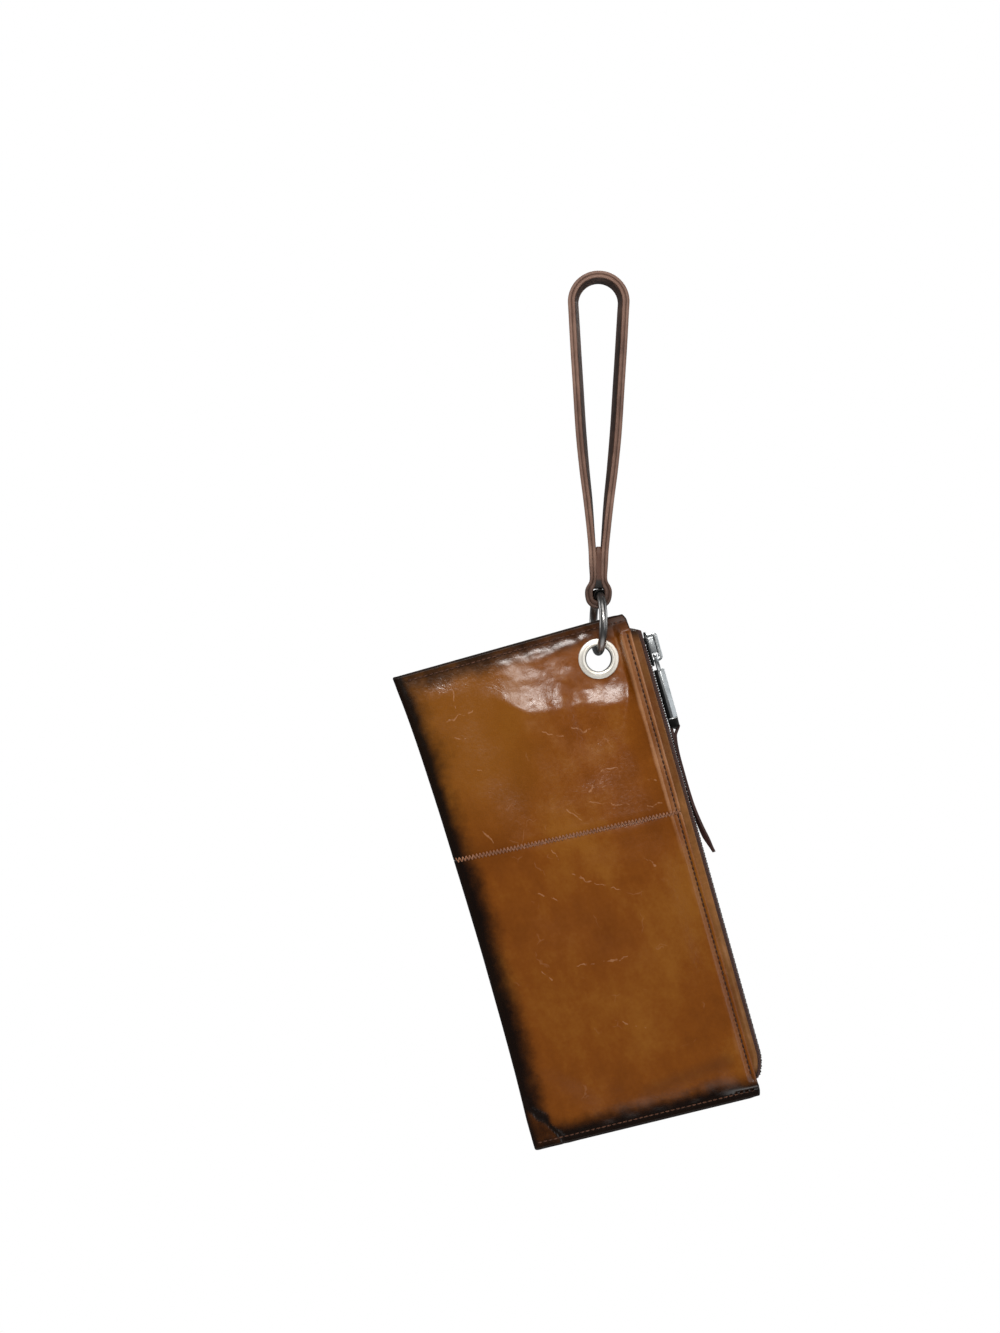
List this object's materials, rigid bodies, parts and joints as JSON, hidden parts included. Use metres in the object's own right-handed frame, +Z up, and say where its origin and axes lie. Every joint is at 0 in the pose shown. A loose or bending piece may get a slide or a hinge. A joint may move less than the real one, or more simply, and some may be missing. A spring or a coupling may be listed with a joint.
{
  "type": "leather wristlet",
  "caption": "Flat zipped leather pouch with an eyelet, hung from a ring on a looped wrist strap.",
  "frame": {"origin": "inside the top of the wrist strap's loop, where a peg or a hand holds it", "axes": "+Z up along the hang, -Y out of the front, +X to the right of the front view"},
  "size_m": [0.1646, 0.0288, 0.3867],
  "materials": {
    "caramel_leather": "satin",
    "strap_leather": "satin",
    "dark_leather": "satin",
    "zip_cloth": "matte",
    "zip_metal": "satin",
    "bright_nickel": "polished",
    "dark_nickel": "polished"
  },
  "bodies": {
    "strap": {"wrist_strap": "strap_leather", "strap_ring": "dark_nickel"},
    "pouch": {"body_upper": "caramel_leather", "body_lower": "caramel_leather", "zip_facing_front": "caramel_leather", "zip_facing_back": "caramel_leather", "zip_tape_front": "zip_cloth", "zip_tape_back": "zip_cloth", "zip_chain": "zip_metal", "zip_slider": "bright_nickel", "eyelet": "bright_nickel"},
    "pull": {"zip_pull": "bright_nickel", "pull_strip": "dark_leather"}
  },
  "joints": [
    {"name": "pouch_swing", "type": "hinge", "parent": "strap", "child": "pouch", "pos_m": [0, 0, -0.1631], "axis": [0, -1, 0], "range_deg": [-40, 12]},
    {"name": "pull_swing", "type": "hinge", "parent": "pouch", "child": "pull", "pos_m": [0.02489, 0, -0.16476], "axis": [0, -1, 0], "range_deg": [0, 120]}
  ]
}
